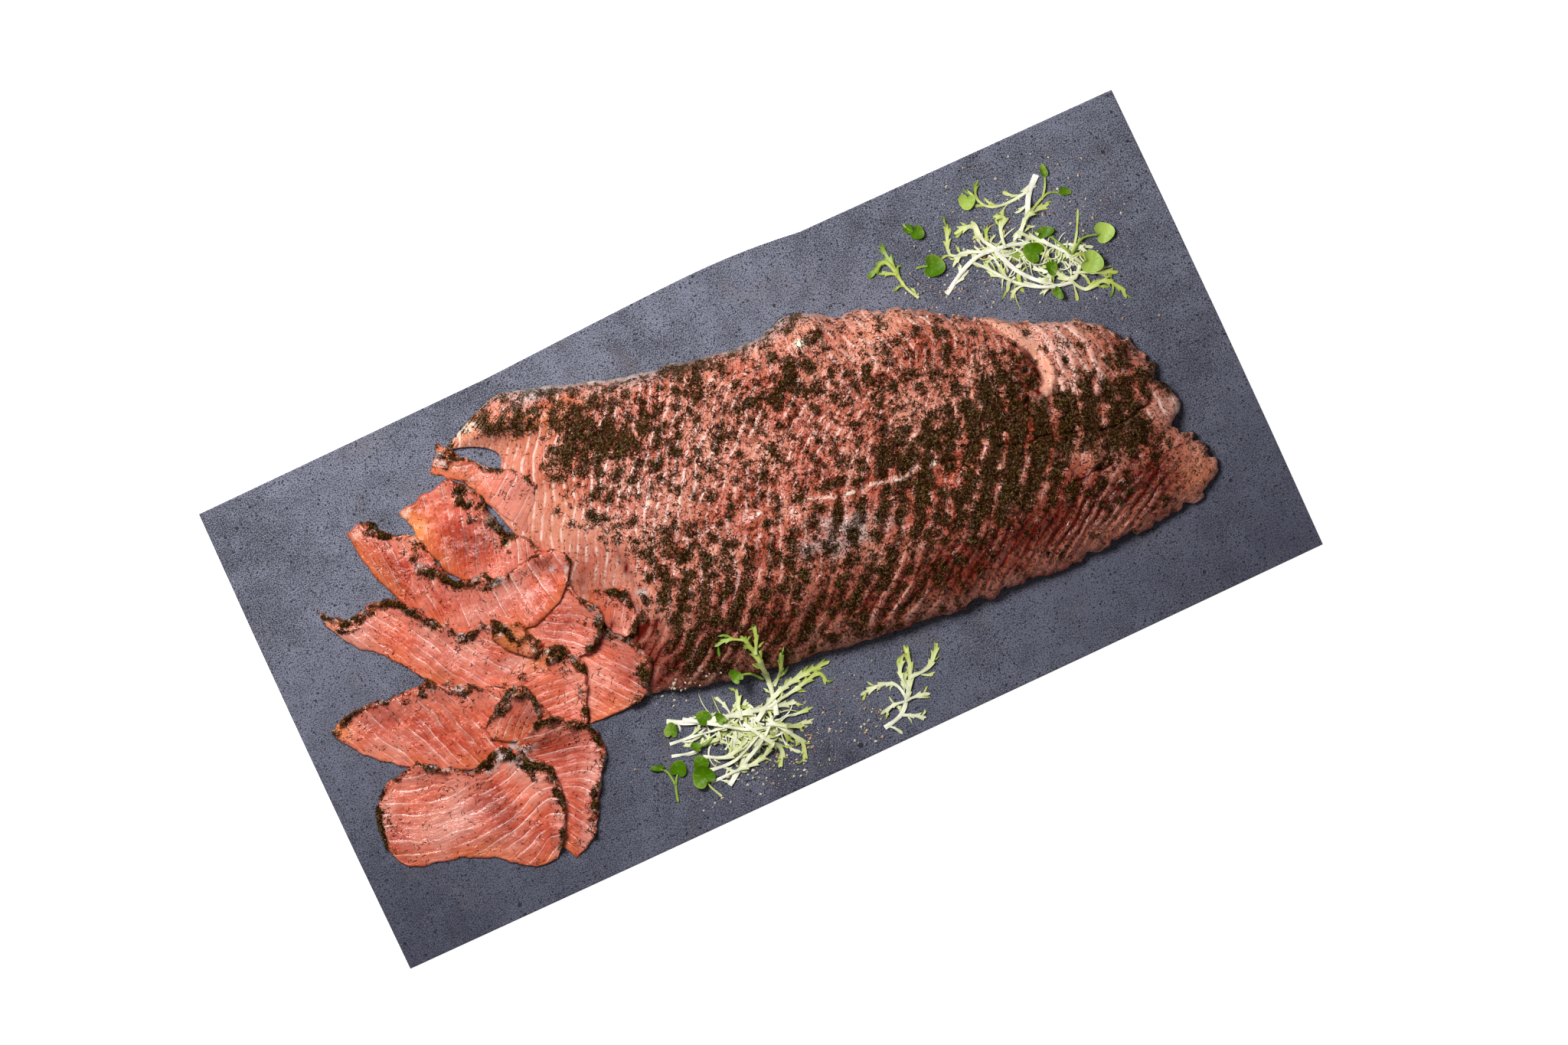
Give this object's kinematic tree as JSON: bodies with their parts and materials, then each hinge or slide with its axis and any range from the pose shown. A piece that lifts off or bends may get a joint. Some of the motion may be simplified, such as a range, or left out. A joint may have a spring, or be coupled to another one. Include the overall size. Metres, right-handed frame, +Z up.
{
  "type": "gravlax slices",
  "caption": "Dill-cured salmon side sliced from one end, its slices fanned out on a grey stone slab with small heaps of curly endive and cress",
  "frame": {"origin": "centre of the box on the slab's underside", "axes": "+X along the slab's long side from the sliced end to the tail, +Y towards its back edge, +Z up"},
  "size_m": [0.6, 0.305, 0.0444],
  "materials": {
    "stone": "honed, fine pits",
    "cured_side": "moist flesh under chopped dill",
    "slice_flesh": "moist cut flesh with pale fat lines",
    "endive": "fresh leaf, satin",
    "cress": "fresh leaf, satin"
  },
  "bodies": {
    "root": {"slab": "stone", "gravlax_side": "cured_side", "slice_01": "slice_flesh", "slice_02": "slice_flesh", "slice_03": "slice_flesh", "slice_04": "slice_flesh", "slice_05": "slice_flesh", "slice_06": "slice_flesh", "slice_07": "slice_flesh", "slice_08": "slice_flesh", "slice_09": "slice_flesh", "slice_10": "slice_flesh", "slice_11": "slice_flesh", "slice_12": "slice_flesh", "slice_13": "slice_flesh", "slice_14": "slice_flesh", "salad_back": "endive", "salad_front": "endive", "endive_sprig_back": "endive", "endive_sprig_front": "endive", "cress_pair_back": "cress", "cress_leaf_back": "cress", "cress_sprig_front": "cress"}
  },
  "joints": []
}
